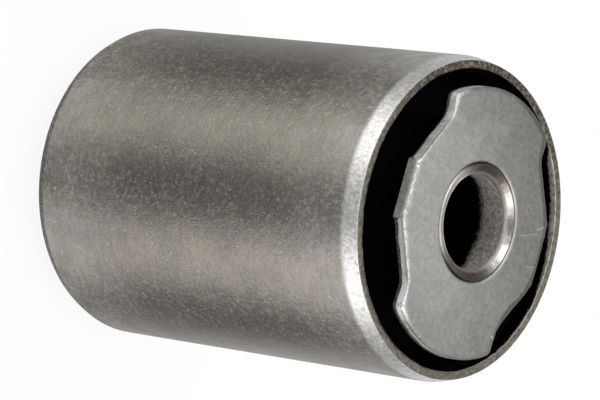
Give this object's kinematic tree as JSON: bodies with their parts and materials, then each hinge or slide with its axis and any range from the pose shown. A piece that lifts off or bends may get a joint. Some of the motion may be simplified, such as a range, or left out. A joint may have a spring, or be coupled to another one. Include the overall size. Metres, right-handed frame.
{
  "type": "rubber metal bush",
  "caption": "Rubber metal bush: steel sleeve with swaged ends, bonded rubber, bored inner tube and lobed stop plates.",
  "frame": {"origin": "centre of the bush, on the axis of the bore, half way between the two stop plates", "axes": "+Z along the bore's axis, out of the end with the upper stop plate; +Y towards one lobe of each stop plate; +X towards a flank"},
  "size_m": [0.056, 0.056, 0.0818],
  "materials": {
    "sleeve_steel": "dull drawn steel, warm grey, with fine bright specks and a burnished band on each swaged end",
    "rubber": "matt black moulded rubber",
    "tube_steel": "turned steel, smooth in the chamfers, speckled in the bore",
    "zinc_plate": "satin zinc plated sheet with sheared and broken edges"
  },
  "bodies": {
    "root": {"outer_sleeve": "sleeve_steel", "rubber_body": "rubber", "inner_tube": "tube_steel", "upper_stop_plate": "zinc_plate", "lower_stop_plate": "zinc_plate"}
  },
  "joints": []
}
